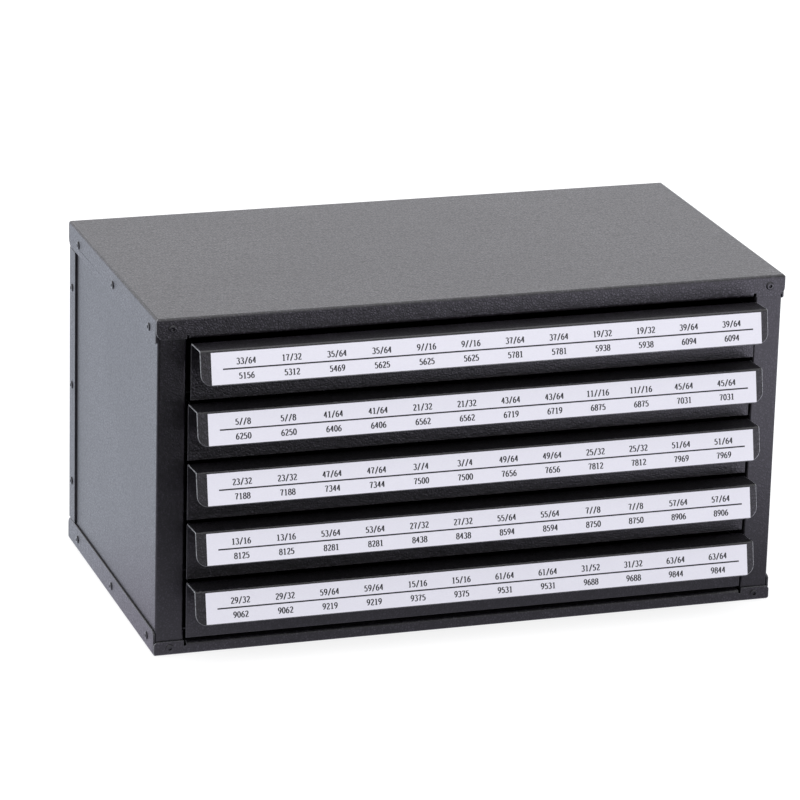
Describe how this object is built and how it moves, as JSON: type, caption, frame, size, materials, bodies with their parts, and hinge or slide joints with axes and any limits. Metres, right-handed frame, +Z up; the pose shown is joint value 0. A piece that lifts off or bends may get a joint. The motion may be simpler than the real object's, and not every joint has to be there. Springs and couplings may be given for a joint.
{
  "type": "drill bit drawer case",
  "caption": "Riveted sheet steel case with a stack of shallow sliding drawers, each with a folded pull lip, a size label and narrow compartments for drill bits.",
  "frame": {"origin": "centre of the case's base, on the surface that it stands on", "axes": "+X to the right along the width, seen from the front; the drawers open towards -Y; +Z up"},
  "size_m": [0.3766, 0.2234, 0.2],
  "materials": {
    "case_paint": "semi-gloss leather-grain powder coat",
    "drawer_paint": "semi-gloss leather-grain powder coat",
    "rivet_paint": "painted blind rivet",
    "runner_paint": "semi-gloss powder coat",
    "label_paper": "satin coated label paper"
  },
  "bodies": {
    "case": {"left_side_panel": "case_paint", "right_side_panel": "case_paint", "top_cover": "case_paint", "bottom_pan": "case_paint", "back_panel": "case_paint", "front_rivets": "rivet_paint", "left_rivets": "rivet_paint", "right_rivets": "rivet_paint", "rear_rivets": "rivet_paint", "left_runner_1": "runner_paint", "right_runner_1": "runner_paint", "left_runner_2": "runner_paint", "right_runner_2": "runner_paint", "left_runner_3": "runner_paint", "right_runner_3": "runner_paint", "left_runner_4": "runner_paint", "right_runner_4": "runner_paint", "left_runner_5": "runner_paint", "right_runner_5": "runner_paint"},
    "drawer_1": {"drawer_1_front": "drawer_paint", "drawer_1_tray": "drawer_paint", "drawer_1_dividers": "drawer_paint", "drawer_1_label": "label_paper"},
    "drawer_2": {"drawer_2_front": "drawer_paint", "drawer_2_tray": "drawer_paint", "drawer_2_dividers": "drawer_paint", "drawer_2_label": "label_paper"},
    "drawer_3": {"drawer_3_front": "drawer_paint", "drawer_3_tray": "drawer_paint", "drawer_3_dividers": "drawer_paint", "drawer_3_label": "label_paper"},
    "drawer_4": {"drawer_4_front": "drawer_paint", "drawer_4_tray": "drawer_paint", "drawer_4_dividers": "drawer_paint", "drawer_4_label": "label_paper"},
    "drawer_5": {"drawer_5_front": "drawer_paint", "drawer_5_tray": "drawer_paint", "drawer_5_dividers": "drawer_paint", "drawer_5_label": "label_paper"}
  },
  "joints": [
    {"name": "drawer_1_slide", "type": "slide", "parent": "case", "child": "drawer_1", "axis": [0, -1, 0], "range_m": [0, 0.148]},
    {"name": "drawer_2_slide", "type": "slide", "parent": "case", "child": "drawer_2", "axis": [0, -1, 0], "range_m": [0, 0.148]},
    {"name": "drawer_3_slide", "type": "slide", "parent": "case", "child": "drawer_3", "axis": [0, -1, 0], "range_m": [0, 0.148]},
    {"name": "drawer_4_slide", "type": "slide", "parent": "case", "child": "drawer_4", "axis": [0, -1, 0], "range_m": [0, 0.148]},
    {"name": "drawer_5_slide", "type": "slide", "parent": "case", "child": "drawer_5", "axis": [0, -1, 0], "range_m": [0, 0.148]}
  ]
}
